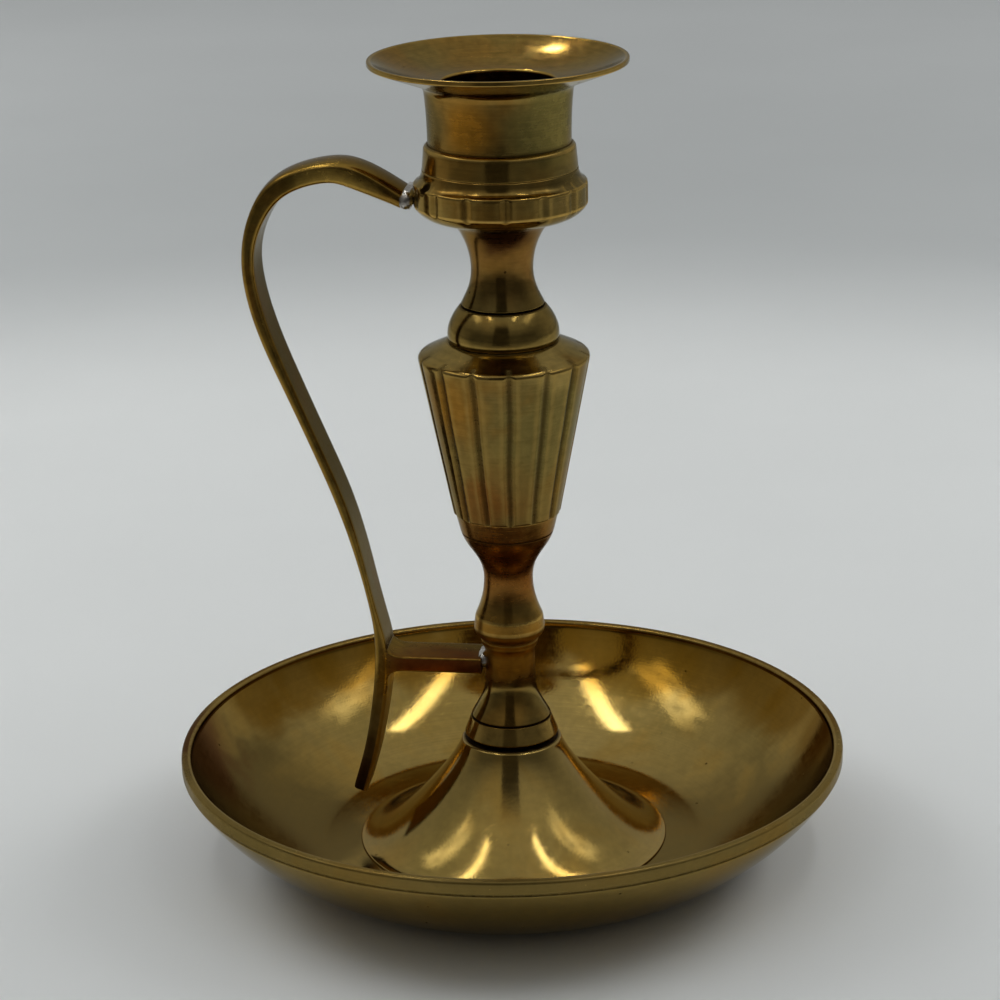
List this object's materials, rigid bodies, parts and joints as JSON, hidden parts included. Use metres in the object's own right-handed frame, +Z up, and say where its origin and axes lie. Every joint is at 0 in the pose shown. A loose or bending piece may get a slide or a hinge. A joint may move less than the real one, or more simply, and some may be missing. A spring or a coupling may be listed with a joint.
{
  "type": "chamberstick candle holder",
  "caption": "Brass chamberstick: a flanged candle cup on a turned, fluted stem with a soldered S-shaped handle, standing on a trumpet foot in a round drip tray.",
  "frame": {"origin": "on the stem's axis, at the underside of the drip tray", "axes": "+Z up along the stem, the handle reaches out along -X"},
  "size_m": [0.14, 0.14, 0.1699],
  "materials": {
    "tray_brass": "polished and then tarnished, golden",
    "stem_brass": "turned and polished, tarnished olive to brown",
    "handle_brass": "cast and filed, tarnished olive brown",
    "solder": "dull soft solder",
    "fixing_steel": "plain bright steel"
  },
  "bodies": {
    "base": {"drip_tray": "tray_brass", "foot_cone": "tray_brass"},
    "stem": {"lower_stem": "stem_brass", "fluted_vase": "stem_brass", "bell_knop": "stem_brass", "neck": "stem_brass", "cup_ring": "stem_brass", "candle_cup": "stem_brass", "handle": "handle_brass", "cup_solder": "solder", "stem_solder": "solder", "tie_rod": "fixing_steel", "tray_washer": "fixing_steel", "tray_nut": "fixing_steel", "cup_nut": "fixing_steel"}
  },
  "joints": [
    {"name": "stem_swivel", "type": "hinge", "parent": "base", "child": "stem", "pos_m": [0, 0, 0.02515], "axis": [0, 0, 1], "continuous": true}
  ]
}
